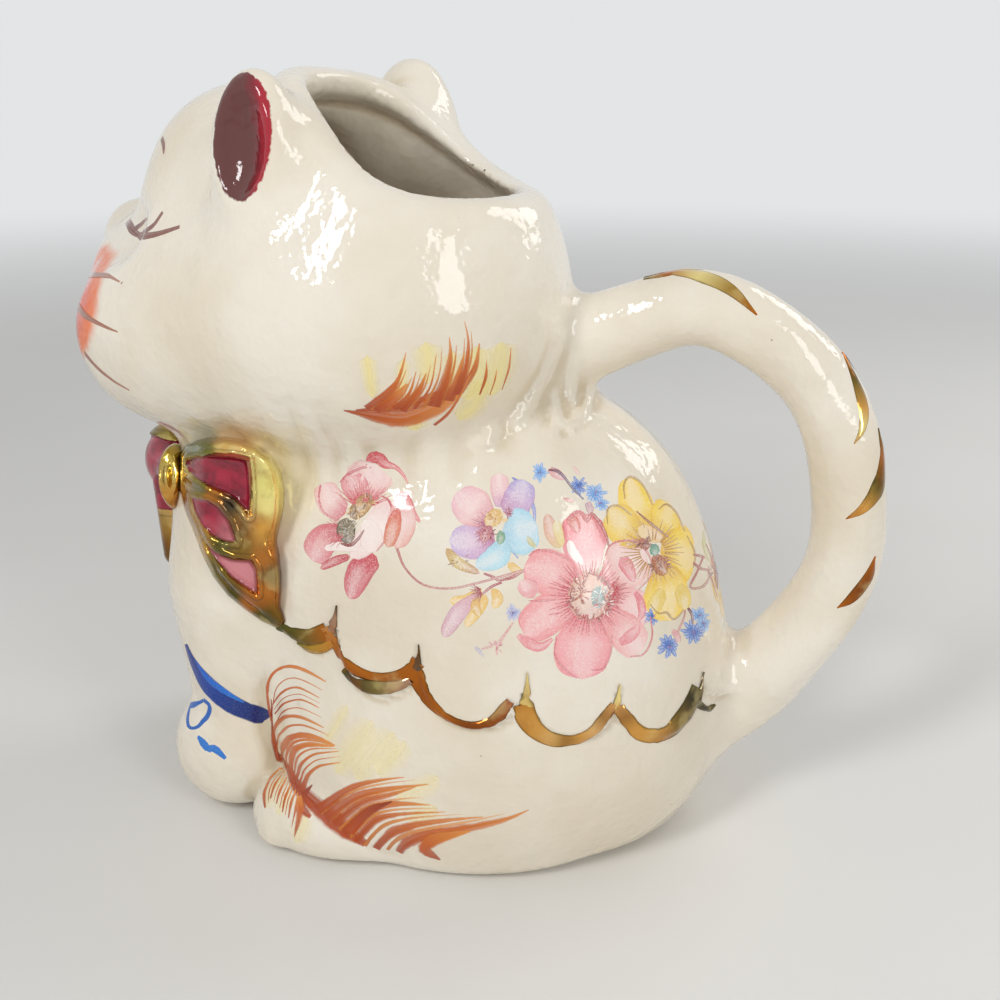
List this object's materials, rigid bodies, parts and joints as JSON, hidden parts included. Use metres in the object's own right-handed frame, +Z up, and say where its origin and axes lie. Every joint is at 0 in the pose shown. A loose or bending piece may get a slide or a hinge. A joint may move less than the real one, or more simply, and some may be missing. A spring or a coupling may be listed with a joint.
{
  "type": "pottery creamer",
  "caption": "Glazed pottery cream jug shaped as a seated cat: filled through the open crown, pours from the mouth, held by the tail handle, with a neck bow.",
  "frame": {"origin": "on the table under the middle of the jug's outer box", "axes": "+Z up; -X the way the seated cat faces (muzzle side), +X towards the tail handle; -Y the cat's left side"},
  "size_m": [0.1328, 0.0682, 0.1213],
  "materials": {
    "ivory_glaze": "gloss",
    "gilt": "metallic lustre",
    "wine_glaze": "gloss"
  },
  "bodies": {
    "root": {"body_shell": "ivory_glaze", "tail_handle": "ivory_glaze", "ear_left": "ivory_glaze", "ear_right": "ivory_glaze", "forepaw_left": "ivory_glaze", "forepaw_right": "ivory_glaze", "hind_paw_left": "ivory_glaze", "hind_paw_right": "ivory_glaze", "bow_knot": "gilt", "bow_loop_left": "wine_glaze", "bow_loop_right": "wine_glaze", "bow_ribbon_left": "wine_glaze", "bow_ribbon_right": "wine_glaze", "hem_left": "gilt", "hem_right": "gilt"}
  },
  "joints": []
}
